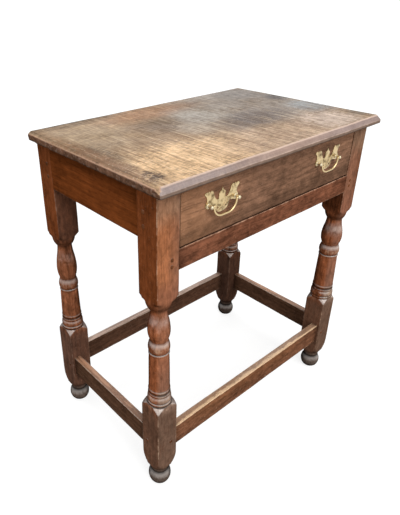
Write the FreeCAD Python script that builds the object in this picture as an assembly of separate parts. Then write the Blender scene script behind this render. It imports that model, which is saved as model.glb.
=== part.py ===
import FreeCAD, Part
import math
import os

# A small oak side table with one side-hung drawer, turned legs and a box stretcher.
# Millimetres. +X runs to the right along the front, +Y to the back, +Z up.
# The origin is on the floor, under the middle of the table top.

# Table top
overall_height = 704.0
top_length = 634.0
top_depth = 402.0
top_thickness = 17.0
overhang_end = 12.0
overhang_front = 22.0
overhang_back = 11.0
moulding_width = 9.0
moulding_drop = 9.5
moulding_bulge = 1.5
end_ease_width = 7.0
end_ease_drop = 5.5
end_ease_bulge = 1.6
corner_round = 3.0

# Legs
leg_size = 50.0
upper_block_length = 203.0
lower_block_top = 222.0
lower_block_bottom = 88.0
foot_height = 35.0
foot_radius = 24.0
foot_pad_radius = 17.0
ankle_radius = 18.5
ankle_height = 3.0
column_foot_height = 50.5
front_collar_lift = 137.5
back_collar_lift = 120.5
collar_length = 29.5
neck_drop = 29.0

# The turnings, each from its own lower end up.
# A step is (height share of its stretch, radius share of half the leg).
# An arc also has the point it bends through.
foot_taper_shares = [
    ("arc", (0.24, 0.86), (0.38, 1.08)),
    ("arc", (0.60, 1.26), (1.00, 1.4142)),
]
base_shares = [
    ("arc", (0.139, 1.260), (0.257, 1.050)),
    ("line", (0.257, 0.970)),
    ("line", (0.277, 0.970)),
    ("arc", (0.323, 1.016), (0.368, 0.960)),
    ("arc", (0.495, 0.996), (0.630, 0.920)),
    ("line", (0.663, 0.910)),
    ("arc", (0.723, 0.940), (0.772, 0.904)),
    ("line", (0.900, 0.892)),
    ("arc", (0.950, 0.920), (1.000, 0.880)),
]
collar_shares = [
    ("line", (0.00, 0.810)),
    ("line", (0.00, 0.835)),
    ("arc", (0.09, 0.855), (0.19, 0.800)),
    ("arc", (0.52, 0.876), (0.90, 0.744)),
    ("line", (1.00, 0.730)),
]
vase_shares = [
    ("line", (0.000, 0.756)),
    ("line", (0.030, 0.756)),
    ("arc", (0.174, 0.880), (0.348, 0.900)),
    ("arc", (0.545, 0.836), (0.712, 0.736)),
    ("arc", (0.864, 0.668), (1.000, 0.648)),
]
cup_shares = [
    ("line", (0.000, 0.784)),
    ("line", (0.050, 0.800)),
    ("arc", (0.276, 0.920), (0.620, 0.992)),
    ("line", (1.000, 1.420)),
]

# Rails round the drawer
rail_thickness = 22.0
side_rail_height = 91.0
drawer_opening_height = 112.0
drawer_rail_height = 41.0
drawer_rail_thickness = 28.0
rail_tenon_thickness = 9.0
tenon_end_gap = 2.5
rail_top_shoulder = 18.0
rail_low_shoulder = 8.0
drawer_rail_shoulder = 4.0

# Stretchers
stretcher_bottom = 100.0
stretcher_height = 52.0
stretcher_thickness = 16.0
stretcher_inset = 6.0
stretcher_tenon_thickness = 8.0
stretcher_shoulder = 7.0

# Pegs
peg_radius = 4.0
peg_sides = 8
peg_end_gap = 2.0
top_peg_radius = 4.5
top_peg_depth = 26.0
rail_peg_shares = (0.25, 0.65)
single_peg_shares = (0.5,)
top_peg_shares = (0.22, 0.78)

# Drawer
drawer_gap_side = 1.5
drawer_gap_top = 2.0
drawer_gap_bottom = 3.0
drawer_gap_back = 2.0
drawer_setback = 1.0
drawer_front_thickness = 20.0
drawer_side_thickness = 16.0
drawer_side_drop = 7.5
drawer_back_thickness = 12.0
drawer_back_drop = 6.0
drawer_bottom_thickness = 8.0
drawer_bottom_lift = 8.0
drawer_bottom_tongue = 5.0
dovetail_count = 3
dovetail_lap = 6.0
dovetail_root_share = 0.46
dovetail_end_share = 0.70

# Runners that the drawer hangs on
runner_height = 18.0
runner_lift = 50.0
runner_housing_depth = 10.0
runner_housing_length = 20.0
runner_tongue = 7.0
runner_play_top = 0.3
runner_play_bottom = 1.0
runner_play_side = 0.8
groove_front_margin = 4.0

# Nails
nail_size = 3.0
nail_head_size = 6.0
nail_head_thickness = 1.2
runner_nail_length = 26.0
drawer_nail_length = 34.0
bottom_nail_length = 26.0
back_nail_shares = (0.2, 0.85)
bottom_nail_shares = (0.15, 0.5, 0.85)

# Brass handles
handle_inset = 95.5
handle_lift = 2.5
post_spacing = 68.0
post_reach = 10.0
ball_radius = 3.6
post_neck_radius = 2.6
post_collar_radius = 4.4
post_collar_thickness = 1.6
shank_radius = 2.2
shank_tail = 2.0
plate_thickness = 1.4
plate_half_width = 43.0
plate_rise = 27.0
plate_fall = 16.0
plate_eye_radius = 1.5
plate_eye_place_shares = (0.17, -0.45)
nut_size = 9.0
nut_thickness = 2.6
bail_radius = 1.8
bail_drop = 21.0
bail_bend = 20.0
bail_gap = 0.4
pintle_radius = 1.3
pintle_length = 5.5
pintle_clearance = 0.08

# Half of the plate's outline from the bottom drop up to the middle spike, as arcs of (middle, end).
# Sideways shares are of the half width.
# Upward shares are of the rise above the posts, and downward ones of the fall below them.
plate_start_shares = (0.0, -1.0)
plate_shares = [
    ((0.14, -0.93), (0.25, -0.64)),
    ((0.34, -0.42), (0.46, -0.40)),
    ((0.68, -0.50), (0.87, -0.25)),
    ((0.94, 0.02), (0.88, 0.22)),
    ((0.87, 0.52), (1.00, 0.78)),
    ((0.92, 0.93), (0.80, 0.79)),
    ((0.71, 0.93), (0.60, 0.78)),
    ((0.50, 0.93), (0.39, 0.76)),
    ((0.36, 0.40), (0.30, 0.12)),
    ((0.27, 0.05), (0.25, 0.13)),
    ((0.22, 0.32), (0.26, 0.49)),
    ((0.20, 0.66), (0.10, 0.72)),
    ((0.03, 0.84), (0.00, 1.00)),
]

# Fits
tenon_clearance = 0.15
peg_clearance = 0.1
joint_clearance = 0.15
cut_overrun = 5.0

# Places worked out from the sizes above
X = FreeCAD.Vector(1, 0, 0)
Y = FreeCAD.Vector(0, 1, 0)
Z = FreeCAD.Vector(0, 0, 1)
SIDES = {"left": -1, "right": 1}
top_underside = overall_height - top_thickness
frame_end = top_length / 2 - overhang_end
frame_front = -top_depth / 2 + overhang_front
frame_back = top_depth / 2 - overhang_back
inner_end = frame_end - leg_size
inner_front = frame_front + leg_size
inner_back = frame_back - leg_size
upper_block_bottom = top_underside - upper_block_length
rail_bottom = top_underside - side_rail_height
drawer_rail_top = top_underside - drawer_opening_height
drawer_rail_bottom = drawer_rail_top - drawer_rail_height
stretcher_top = stretcher_bottom + stretcher_height
rail_tenon_length = leg_size - (rail_thickness + rail_tenon_thickness) / 2 - tenon_end_gap
stretcher_tenon_middle = stretcher_inset + stretcher_thickness / 2
stretcher_tenon_length = leg_size - stretcher_tenon_middle - stretcher_tenon_thickness / 2 - tenon_end_gap

drawer_half = inner_end - drawer_gap_side
drawer_inner_half = drawer_half - drawer_side_thickness
drawer_face = frame_front + drawer_setback
drawer_front_back = drawer_face + drawer_front_thickness
drawer_rear = frame_back - rail_thickness - drawer_gap_back
drawer_low = drawer_rail_top + drawer_gap_bottom
drawer_top = top_underside - drawer_gap_top
drawer_side_top = drawer_top - drawer_side_drop
drawer_side_height = drawer_side_top - drawer_low
bottom_low = drawer_low + drawer_bottom_lift
bottom_top = bottom_low + drawer_bottom_thickness
runner_bottom = drawer_low + runner_lift
runner_top = runner_bottom + runner_height
groove_floor = drawer_half - runner_tongue - runner_play_side
runner_inner = drawer_half - runner_tongue
handle_middle = drawer_half - handle_inset
handle_height = (drawer_low + drawer_top) / 2 + handle_lift
post_y = drawer_face - post_reach
arm_x = post_spacing / 2 - ball_radius - bail_gap - bail_radius


def block(x_range, y_range, z_range):
    """A square-cornered block between three pairs of coordinates, in any order."""
    low = FreeCAD.Vector(min(x_range), min(y_range), min(z_range))
    high = FreeCAD.Vector(max(x_range), max(y_range), max(z_range))
    size = high - low
    return Part.makeBox(size.x, size.y, size.z, low)


def rod(start, direction, radius, length):
    """A round bar from a point along a direction."""
    return Part.makeCylinder(radius, length, start, direction)


def riven_peg(start, direction, radius, length):
    """A peg split and shaved to flats, its corners touching the circle of its hole."""
    turn = FreeCAD.Rotation(Z, direction)
    points = []
    for index in range(peg_sides):
        angle = 2 * math.pi * index / peg_sides
        points.append(start + turn.multVec(FreeCAD.Vector(math.cos(angle), math.sin(angle), 0)) * radius)
    return polygon_prism(points, direction * length)


def arc(start, middle, end):
    """A circular edge through three points."""
    return Part.Arc(start, middle, end).toShape()


def prism(edges, direction):
    """A closed outline pushed along a vector."""
    return Part.Face(Part.Wire(edges)).extrude(direction)


def polygon_prism(points, direction):
    """A closed straight-sided outline pushed along a vector."""
    return Part.Face(Part.makePolygon(points + points[:1])).extrude(direction)


def mirrored_x(shape):
    """The same piece on the other end of the table."""
    return shape.mirror(FreeCAD.Vector(), X)


def on_side(side, shape):
    """A piece drawn for the left end, moved to the end that is asked for."""
    return shape if side == "left" else mirrored_x(shape)


class Rail:
    """A rail or stretcher between two legs, with a tenon on each end and the pegs that hold it."""

    def __init__(self, along, span, across, heights, tenon, shoulders, face, peg_shares):
        self.along = along
        self.span = span
        self.across = across
        self.heights = heights
        self.tenon_length, self.tenon_thickness = tenon
        self.shoulders = shoulders
        self.face = face
        self.peg_shares = peg_shares

    def bar(self, span, across, heights):
        """A block laid along the rail's own direction."""
        if self.along == "x":
            return block(span, across, heights)
        return block(across, span, heights)

    def tenon_heights(self, grow):
        low, high = self.heights
        return (low + self.shoulders[0] - grow, high - self.shoulders[1] + grow)

    def tenon_bar(self, grow):
        """Both tenons as one bar right through the rail, grown on every side for the mortise."""
        middle = sum(self.across) / 2
        half = self.tenon_thickness / 2 + grow
        reach = self.tenon_length + grow
        span = (self.span[0] - reach, self.span[1] + reach)
        return self.bar(span, (middle - half, middle + half), self.tenon_heights(grow))

    def peg_lines(self):
        """Where each peg starts on a leg's outer face, at the middle of a tenon, and the way it is driven."""
        surface, outward = self.face
        low, high = self.tenon_heights(0)
        lines = []
        for end, sign in ((self.span[0], -1), (self.span[1], 1)):
            place = end + sign * self.tenon_length / 2
            for share in self.peg_shares:
                height = low + (high - low) * share
                if self.along == "x":
                    lines.append((FreeCAD.Vector(place, surface, height), Y * -outward))
                else:
                    lines.append((FreeCAD.Vector(surface, place, height), X * -outward))
        return lines

    def peg_length(self):
        """Pegs stop short of the pegs that come in from the leg's other outer face."""
        return leg_size - self.tenon_length / 2 - peg_radius - peg_end_gap

    def pegs(self):
        return [riven_peg(start, way, peg_radius, self.peg_length()) for start, way in self.peg_lines()]

    def peg_holes(self):
        radius = peg_radius + peg_clearance
        return [rod(start, way, radius, self.peg_length() + peg_clearance) for start, way in self.peg_lines()]

    def solid(self):
        body = self.bar(self.span, self.across, self.heights).fuse(self.tenon_bar(0))
        return body.cut(self.peg_holes()).removeSplitter()

    def cuts(self):
        """What the legs lose to this rail: its mortises and its peg holes."""
        return [self.tenon_bar(tenon_clearance)] + self.peg_holes()


def make_rails():
    """Every rail and stretcher of the frame by name."""
    rail_tenon = (rail_tenon_length, rail_tenon_thickness)
    foot_tenon = (stretcher_tenon_length, stretcher_tenon_thickness)
    upper = (rail_bottom, top_underside)
    lower = (stretcher_bottom, stretcher_top)
    upper_shoulders = (rail_low_shoulder, rail_top_shoulder)
    low_shoulders = (stretcher_shoulder, stretcher_shoulder)
    ends = (-inner_end, inner_end)
    depth = (inner_front, inner_back)
    rails = {}
    for side, sign in SIDES.items():
        outer = sign * frame_end
        across = (outer, outer - sign * rail_thickness)
        rails["side_rail_" + side] = Rail(
            "y", depth, across, upper, rail_tenon, upper_shoulders, (outer, sign), rail_peg_shares)
        near = outer - sign * stretcher_inset
        across = (near, near - sign * stretcher_thickness)
        rails["stretcher_" + side] = Rail(
            "y", depth, across, lower, foot_tenon, low_shoulders, (outer, sign), single_peg_shares)
    across = (frame_back - rail_thickness, frame_back)
    rails["back_rail"] = Rail(
        "x", ends, across, upper, rail_tenon, upper_shoulders, (frame_back, 1), rail_peg_shares)
    across = (frame_front, frame_front + drawer_rail_thickness)
    heights = (drawer_rail_bottom, drawer_rail_top)
    shoulders = (drawer_rail_shoulder, drawer_rail_shoulder)
    rails["drawer_rail"] = Rail(
        "x", ends, across, heights, rail_tenon, shoulders, (frame_front, -1), rail_peg_shares)
    for name, face, sign in (("front", frame_front, -1), ("back", frame_back, 1)):
        near = face - sign * stretcher_inset
        across = (near, near - sign * stretcher_thickness)
        rails["stretcher_" + name] = Rail(
            "x", ends, across, lower, foot_tenon, low_shoulders, (face, sign), single_peg_shares)
    return rails


def on_outline(radius, height):
    """A point of a leg's outline, which is drawn in the X-Z plane."""
    return FreeCAD.Vector(radius, 0, height)


def turned_steps(here, low, length, steps):
    """The lines and arcs of one turning, from a point already reached, up a stretch of the leg."""
    edges = []
    for kind, *shares in steps:
        places = [on_outline(radius * leg_size / 2, low + length * height) for height, radius in shares]
        edges.append(arc(here, *places) if kind == "arc" else Part.makeLine(here, places[0]))
        here = places[-1]
    return edges, here


def leg_profile(collar_lift):
    """Half of a leg's turned outline, from the floor up, with its collar at a height above the lower block."""
    at = on_outline
    clear = leg_size
    corner = leg_size / 2 * math.sqrt(2)
    ankle_top = foot_height + ankle_height
    collar_low = lower_block_top + collar_lift
    collar_high = collar_low + collar_length
    neck = upper_block_bottom - neck_drop
    edges = [arc(at(foot_pad_radius, 0), at(foot_radius, foot_height / 2), at(ankle_radius, foot_height))]
    here = at(ankle_radius, ankle_top)
    edges.append(Part.makeLine(at(ankle_radius, foot_height), here))
    taper, here = turned_steps(here, ankle_top, lower_block_bottom - ankle_top, foot_taper_shares)
    rise = [here, at(clear, lower_block_bottom), at(clear, lower_block_top), at(corner, lower_block_top)]
    edges += taper + [Part.makeLine(a, b) for a, b in zip(rise, rise[1:])]
    here = rise[-1]
    for low, length, steps in (
        (lower_block_top, column_foot_height, base_shares),
        (collar_low, collar_length, collar_shares),
        (collar_high, neck - collar_high, vase_shares),
        (neck, neck_drop, cup_shares),
    ):
        turning, here = turned_steps(here, low, length, steps)
        edges += turning
    cap = [here, at(clear, upper_block_bottom), at(clear, top_underside), at(0, top_underside), at(0, 0)]
    cap.append(at(foot_pad_radius, 0))
    return edges + [Part.makeLine(a, b) for a, b in zip(cap, cap[1:])]


def make_leg(side_sign, depth_middle, collar_lift, cuts):
    """One leg: the turned outline cut out of a square post, then its mortises, peg holes and housing."""
    half = leg_size / 2
    turned = Part.Face(Part.Wire(leg_profile(collar_lift))).revolve(FreeCAD.Vector(), Z, 360)
    post = block((-half, half), (-half, half), (0, top_underside))
    leg = turned.common(post)
    leg.translate(FreeCAD.Vector(side_sign * (frame_end - half), depth_middle, 0))
    return leg.cut(cuts).removeSplitter()


def moulded_edge(edge, inward, mould):
    """Lip, crown and upper end of a moulding that rounds over one edge of the top, as (across, height)."""
    width, drop, bulge = mould
    slope = math.hypot(width, drop)
    lip = (edge, overall_height - drop)
    crown_across = edge + inward * (width / 2 - bulge * drop / slope)
    crown = (crown_across, overall_height - drop / 2 + bulge * width / slope)
    return lip, crown, (edge + inward * width, overall_height)


def top_profile(low_edge, high_edge, low_mould, high_mould, place):
    """A cross-section of the top, moulded or left square at each edge, drawn by a function of (across, height)."""
    start, finish = place(low_edge, top_underside), place(high_edge, top_underside)
    if low_mould:
        lip, crown, upper = [place(*point) for point in moulded_edge(low_edge, 1, low_mould)]
        edges = [Part.makeLine(start, lip), arc(lip, crown, upper)]
    else:
        upper = place(low_edge, overall_height)
        edges = [Part.makeLine(start, upper)]
    if high_mould:
        lip, crown, corner = [place(*point) for point in moulded_edge(high_edge, -1, high_mould)]
        edges += [Part.makeLine(upper, corner), arc(corner, crown, lip), Part.makeLine(lip, finish)]
    else:
        corner = place(high_edge, overall_height)
        edges += [Part.makeLine(upper, corner), Part.makeLine(corner, finish)]
    edges.append(Part.makeLine(finish, start))
    return edges


def top_peg_places():
    """Where pegs go down through the top into the side rails, the back rail and the front legs."""
    places = []
    for sign in SIDES.values():
        rail_x = sign * (frame_end - rail_thickness / 2)
        for share in top_peg_shares:
            places.append((rail_x, inner_front + (inner_back - inner_front) * share))
        places.append((sign * (frame_end - leg_size / 2), frame_front + leg_size / 2))
    for share in top_peg_shares:
        places.append((-inner_end + 2 * inner_end * share, frame_back - rail_thickness / 2))
    return [FreeCAD.Vector(x, y, overall_height) for x, y in places]


def top_pegs():
    return [riven_peg(place, -Z, top_peg_radius, top_thickness + top_peg_depth) for place in top_peg_places()]


def top_peg_holes():
    length = top_thickness + top_peg_depth + peg_clearance
    return [rod(place, -Z, top_peg_radius + peg_clearance, length) for place in top_peg_places()]


def make_top():
    """The board: moulded along its front, worn over at both ends, its front corners rounded."""
    half_length, half_depth = top_length / 2, top_depth / 2
    front_mould = (moulding_width, moulding_drop, moulding_bulge)
    end_ease = (end_ease_width, end_ease_drop, end_ease_bulge)
    across_depth = top_profile(-half_depth, half_depth, front_mould, None,
                               lambda y, z: FreeCAD.Vector(-half_length, y, z))
    across_length = top_profile(-half_length, half_length, end_ease, end_ease,
                                lambda x, z: FreeCAD.Vector(x, -half_depth, z))
    board = prism(across_depth, X * top_length).common(prism(across_length, Y * top_depth))
    blank = block((-half_length, half_length), (-half_depth, half_depth), (top_underside, overall_height))
    corners = [edge for edge in blank.Edges
               if abs(edge.tangentAt(edge.FirstParameter).z) > math.sqrt(0.5) and edge.CenterOfMass.y < 0]
    board = board.common(blank.makeFillet(corner_round, corners))
    return board.cut(top_peg_holes())


def runner_blank(grow):
    """The left runner's batten, housed in the front and the back leg, grown all round for the housings."""
    x_range = (-inner_end - runner_housing_depth - grow, -runner_inner)
    y_range = (inner_front - runner_housing_length - grow, inner_back + runner_housing_length + grow)
    return block(x_range, y_range, (runner_bottom - grow, runner_top + grow))


def square_bar(point, direction, size, length):
    """A square bar from a point along one of the three axes."""
    across = FreeCAD.Vector(*[0 if part else size / 2 for part in direction])
    far = point + direction * length
    low, high = point - across, far + across
    return block((low.x, high.x), (low.y, high.y), (low.z, high.z))


def nail(point, direction, length, grow):
    """A forged nail, square in the shank, with its head flush at a point, driven along a direction."""
    head = square_bar(point, direction, nail_head_size + 2 * grow, nail_head_thickness + grow)
    shank = square_bar(point, direction, nail_size + 2 * grow, length + grow)
    return head.fuse(shank)


def runner_nails(grow):
    """Two nails through the left runner, one into each leg."""
    middle = (runner_bottom + runner_top) / 2
    half = runner_housing_length / 2
    places = (inner_front - half, inner_back + half)
    return [nail(FreeCAD.Vector(-runner_inner, y, middle), -X, runner_nail_length, grow) for y in places]


def dovetails(grow):
    """The tails on the front end of the left drawer side, grown for their sockets in the drawer front."""
    pitch = drawer_side_height / dovetail_count
    tip = drawer_face + dovetail_lap - grow
    tails = []
    for index in range(dovetail_count):
        middle = drawer_low + pitch * (index + 1 / 2)
        root = pitch * dovetail_root_share / 2 + grow
        end = pitch * dovetail_end_share / 2 + grow
        points = [
            FreeCAD.Vector(-drawer_half, drawer_front_back, middle - root),
            FreeCAD.Vector(-drawer_half, tip, middle - end),
            FreeCAD.Vector(-drawer_half, tip, middle + end),
            FreeCAD.Vector(-drawer_half, drawer_front_back, middle + root),
        ]
        tails.append(polygon_prism(points, X * (drawer_side_thickness + grow)))
    return tails


def bottom_board(grow):
    """The drawer bottom, tongued into the front and the sides and running out under the back."""
    half = drawer_inner_half + drawer_bottom_tongue + grow
    y_range = (drawer_front_back - drawer_bottom_tongue - grow, drawer_rear)
    return block((-half, half), y_range, (bottom_low - grow, bottom_top + grow))


def back_nails(grow):
    """Nails through the left drawer side into the end of the back."""
    y = drawer_rear - drawer_back_thickness / 2
    span = drawer_side_top - drawer_back_drop - bottom_top
    heights = [bottom_top + span * share for share in back_nail_shares]
    return [nail(FreeCAD.Vector(-drawer_half, y, z), X, drawer_nail_length, grow) for z in heights]


def bottom_nails(grow):
    """Nails up through the drawer bottom into the back."""
    y = drawer_rear - drawer_back_thickness / 2
    places = [-drawer_inner_half + 2 * drawer_inner_half * share for share in bottom_nail_shares]
    return [nail(FreeCAD.Vector(x, y, bottom_low), Z, bottom_nail_length, grow) for x in places]


def make_drawer_side():
    """The left side: tails in front, a groove inside for the bottom, a groove outside for the runner."""
    board = block((-drawer_half, -drawer_inner_half), (drawer_front_back, drawer_rear),
                  (drawer_low, drawer_side_top))
    board = board.fuse(dovetails(0))
    groove = block((-drawer_half - cut_overrun, -groove_floor),
                   (drawer_front_back + groove_front_margin, drawer_rear + cut_overrun),
                   (runner_bottom - runner_play_bottom, runner_top + runner_play_top))
    bottom = bottom_board(joint_clearance)
    bottom = bottom.fuse(block((-drawer_inner_half - drawer_bottom_tongue - joint_clearance, 0),
                               (drawer_face, drawer_rear + cut_overrun),
                               (bottom_low - joint_clearance, bottom_top + joint_clearance)))
    return board.cut([groove, bottom] + back_nails(peg_clearance)).removeSplitter()


def make_drawer_back():
    """The back, between the sides and on top of the bottom."""
    board = block((-drawer_inner_half, drawer_inner_half), (drawer_rear - drawer_back_thickness, drawer_rear),
                  (bottom_top, drawer_side_top - drawer_back_drop))
    left = back_nails(peg_clearance)
    return board.cut(left + [mirrored_x(shape) for shape in left] + bottom_nails(peg_clearance))


def post_places():
    """Where the posts stand on the drawer front, by handle."""
    places = {}
    for side, sign in SIDES.items():
        middle = sign * handle_middle
        places[side] = [middle - post_spacing / 2, middle + post_spacing / 2]
    return places


def shank_rod(x, grow):
    """A post's shank, from the plate's face to past its nut."""
    reach = plate_thickness + drawer_front_thickness + nut_thickness + shank_tail
    start = FreeCAD.Vector(x, drawer_face - plate_thickness, handle_height)
    return rod(start, Y, shank_radius + grow, reach)


def make_drawer_front():
    """The drawer front: sockets for the tails, a groove for the bottom, holes for the posts."""
    board = block((-drawer_half, drawer_half), (drawer_face, drawer_front_back), (drawer_low, drawer_top))
    left = dovetails(joint_clearance)
    holes = [shank_rod(x, peg_clearance) for places in post_places().values() for x in places]
    cuts = left + [mirrored_x(shape) for shape in left] + [bottom_board(joint_clearance)] + holes
    return board.cut(cuts).removeSplitter()


def make_plate(side):
    """The bat-wing plate: one half outline of arcs, its mirror image, two eyes and the post holes."""
    middle = SIDES[side] * handle_middle

    def at(sign, shares):
        across, up = shares
        rise = up * (plate_rise if up > 0 else plate_fall)
        return FreeCAD.Vector(middle + sign * across * plate_half_width, drawer_face, handle_height + rise)

    edges = []
    for sign in (1, -1):
        here = at(sign, plate_start_shares)
        half = []
        for bend, end in plate_shares:
            half.append(arc(here, at(sign, bend), at(sign, end)))
            here = at(sign, end)
        edges += half
    plate = Part.Face(Part.Wire(Part.__sortEdges__(edges))).extrude(Y * -plate_thickness)
    across, up = plate_eye_place_shares
    holes = [shank_rod(x, peg_clearance) for x in post_places()[side]]
    for sign in (-1, 1):
        start = at(sign, (across, up)) + Y * cut_overrun
        holes.append(rod(start, -Y, plate_eye_radius, plate_thickness + 2 * cut_overrun))
    return plate.cut(holes)


def make_post(x, outward):
    """One post: collar on the plate, neck, ball with a hole for the bail's pintle, and the shank."""
    face = drawer_face - plate_thickness
    collar = rod(FreeCAD.Vector(x, face, handle_height), -Y, post_collar_radius, post_collar_thickness)
    neck = rod(FreeCAD.Vector(x, face, handle_height), -Y, post_neck_radius, post_reach - plate_thickness)
    ball = Part.makeSphere(ball_radius, FreeCAD.Vector(x, post_y, handle_height))
    hole_depth = arm_hole_depth()
    mouth = FreeCAD.Vector(x - outward * (ball_radius + cut_overrun), post_y, handle_height)
    hole = rod(mouth, X * outward, pintle_radius + pintle_clearance, cut_overrun + hole_depth)
    solid = collar.fuse([neck, ball, shank_rod(x, 0)])
    return solid.cut(hole).removeSplitter()


def arm_hole_depth():
    """How far the pintle hole goes into the ball: past the pintle's end by the bail's side play."""
    return pintle_length + bail_gap


def make_nut(x):
    """A square nut on a post, against the inside of the drawer front."""
    half = nut_size / 2
    blank = block((x - half, x + half), (drawer_front_back, drawer_front_back + nut_thickness),
                  (handle_height - half, handle_height + half))
    return blank.cut(shank_rod(x, peg_clearance))


def make_bail(side):
    """The bail: a round bar bent to a U, with a pintle standing out from each arm into its post."""
    middle = SIDES[side] * handle_middle

    def at(across, down):
        return FreeCAD.Vector(middle + across, post_y, handle_height - down)

    bend_low = bail_drop - bail_bend
    flat = arm_x - bail_bend
    skew = bail_bend * math.sqrt(0.5)
    path = [
        Part.makeLine(at(-arm_x, 0), at(-arm_x, bend_low)),
        arc(at(-arm_x, bend_low), at(-flat - skew, bend_low + skew), at(-flat, bail_drop)),
        Part.makeLine(at(-flat, bail_drop), at(flat, bail_drop)),
        arc(at(flat, bail_drop), at(flat + skew, bend_low + skew), at(arm_x, bend_low)),
        Part.makeLine(at(arm_x, bend_low), at(arm_x, 0)),
    ]
    section = Part.Wire(Part.makeCircle(bail_radius, at(-arm_x, 0), Z))
    bar = Part.Wire(path).makePipeShell([section], True, False)
    reach = bail_radius + bail_gap + pintle_length
    ends = []
    for sign in (-1, 1):
        ends.append(Part.makeSphere(bail_radius, at(sign * arm_x, 0)))
        ends.append(rod(at(sign * arm_x, 0), X * sign, pintle_radius, reach))
    return bar.fuse(ends).removeSplitter()


def make_frame():
    """The legs, rails, stretchers, pegs and runners."""
    rails = make_rails()
    pieces = {name: rail.solid() for name, rail in rails.items()}
    pins = top_peg_holes()
    for name in ("side_rail_left", "side_rail_right", "back_rail"):
        pieces[name] = pieces[name].cut(pins)
    cuts = [shape for rail in rails.values() for shape in rail.cuts()] + pins
    left = [runner_blank(joint_clearance)] + runner_nails(peg_clearance)
    cuts += left + [mirrored_x(shape) for shape in left]
    for side, sign in SIDES.items():
        pieces["leg_front_" + side] = make_leg(sign, frame_front + leg_size / 2, front_collar_lift, cuts)
        pieces["leg_back_" + side] = make_leg(sign, frame_back - leg_size / 2, back_collar_lift, cuts)
        pieces["drawer_runner_" + side] = on_side(side, runner_blank(0).cut(runner_nails(peg_clearance)))
    for group, names in (("side_rail_pegs", ("side_rail_left", "side_rail_right")),
                         ("back_rail_pegs", ("back_rail",)),
                         ("drawer_rail_pegs", ("drawer_rail",)),
                         ("stretcher_pegs", [name for name in rails if name.startswith("stretcher")])):
        pieces[group] = Part.makeCompound([peg for name in names for peg in rails[name].pegs()])
    pieces["top_pegs"] = Part.makeCompound(top_pegs())
    nails = runner_nails(0)
    pieces["runner_nails"] = Part.makeCompound(nails + [mirrored_x(shape) for shape in nails])
    pieces["table_top"] = make_top()
    return pieces


def make_drawer():
    """The drawer's boards and nails, and the handles on its front."""
    pieces = {"drawer_front": make_drawer_front(), "drawer_back": make_drawer_back()}
    pieces["drawer_bottom"] = bottom_board(0).cut(bottom_nails(peg_clearance))
    for side in SIDES:
        pieces["drawer_side_" + side] = on_side(side, make_drawer_side())
    left = back_nails(0)
    pieces["drawer_nails"] = Part.makeCompound(left + [mirrored_x(shape) for shape in left] + bottom_nails(0))
    for side, places in post_places().items():
        pieces["handle_plate_" + side] = make_plate(side)
        pieces["handle_posts_" + side] = Part.makeCompound([make_post(x, s) for x, s in zip(places, (-1, 1))])
        pieces["handle_nuts_" + side] = Part.makeCompound([make_nut(x) for x in places])
        pieces["bail_" + side] = make_bail(side)
    return pieces


def main():
    os.makedirs("parts", exist_ok=True)
    pieces = {**make_frame(), **make_drawer()}
    for name, shape in pieces.items():
        shape.exportStep(os.path.join("parts", name + ".step"))
        print(name, "solids", len(shape.Solids), "volume", round(shape.Volume), "valid", shape.isValid())


main()
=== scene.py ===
# %% [markdown]
# # Dressing a small oak side table
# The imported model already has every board, peg and hinge in its right place, but its edges are as sharp as a
# drawing and it has no wood in it. In this lesson each piece that shows gets eased and rubbed edges, and a finish
# worked out from nodes: old waxed oak, cast brass and a little forged iron. Lengths are in metres throughout.

# %% Load the frame
import bmesh
import bpy
import math
from mathutils import Matrix, Vector, noise


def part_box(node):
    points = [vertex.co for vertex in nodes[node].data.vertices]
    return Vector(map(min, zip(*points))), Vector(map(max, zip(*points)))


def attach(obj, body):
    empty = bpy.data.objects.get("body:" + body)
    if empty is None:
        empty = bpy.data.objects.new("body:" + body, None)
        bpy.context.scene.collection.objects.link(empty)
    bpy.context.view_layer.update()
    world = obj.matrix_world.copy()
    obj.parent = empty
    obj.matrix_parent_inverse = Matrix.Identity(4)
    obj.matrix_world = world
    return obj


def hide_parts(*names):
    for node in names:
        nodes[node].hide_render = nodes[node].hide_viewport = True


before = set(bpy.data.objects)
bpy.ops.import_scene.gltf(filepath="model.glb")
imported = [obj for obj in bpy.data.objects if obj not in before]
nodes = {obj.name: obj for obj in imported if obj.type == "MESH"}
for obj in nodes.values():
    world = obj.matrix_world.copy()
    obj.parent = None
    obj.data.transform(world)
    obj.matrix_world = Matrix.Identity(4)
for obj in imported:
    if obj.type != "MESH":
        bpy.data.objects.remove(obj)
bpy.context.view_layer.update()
MM = 0.001

# %% [markdown]
# ## The camera
# The view is a standing person's, from the left of the front and a good arm's length away, looking down on the top.
# The place and the two turns below give the view's right, up and forward directions, and a camera's matrix is
# those three as columns. The picture was cropped off centre, so the lens is shifted a little to frame it the same.

# %% Camera
IMAGE = (400, 515)   # in pixels, like the focal length and the place where the lens's axis meets the picture
FOCAL = 497.7
MIDDLE = (151.95, 237.8)
SENSOR = 36.0
long_side = max(IMAGE)
eye = Vector((-0.7509, -0.702, 0.9782))
yaw, pitch, roll = 0.695, -0.488, -0.012
level = Vector((math.sin(yaw), math.cos(yaw), 0))
side = Vector((math.cos(yaw), -math.sin(yaw), 0))
ahead = level * math.cos(pitch) + Vector((0, 0, math.sin(pitch)))
above = Vector((0, 0, math.cos(pitch))) - level * math.sin(pitch)
right = side * math.cos(roll) + above * math.sin(roll)
up = above * math.cos(roll) - side * math.sin(roll)
camera = bpy.data.objects.new("camera", bpy.data.cameras.new("camera"))
bpy.context.scene.collection.objects.link(camera)
camera.matrix_world = Matrix((right, up, -ahead)).transposed().to_4x4()
camera.location = eye
camera.data.sensor_width = SENSOR
camera.data.lens = FOCAL * SENSOR / long_side
camera.data.shift_x = (IMAGE[0] / 2 - MIDDLE[0]) / long_side
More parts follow.
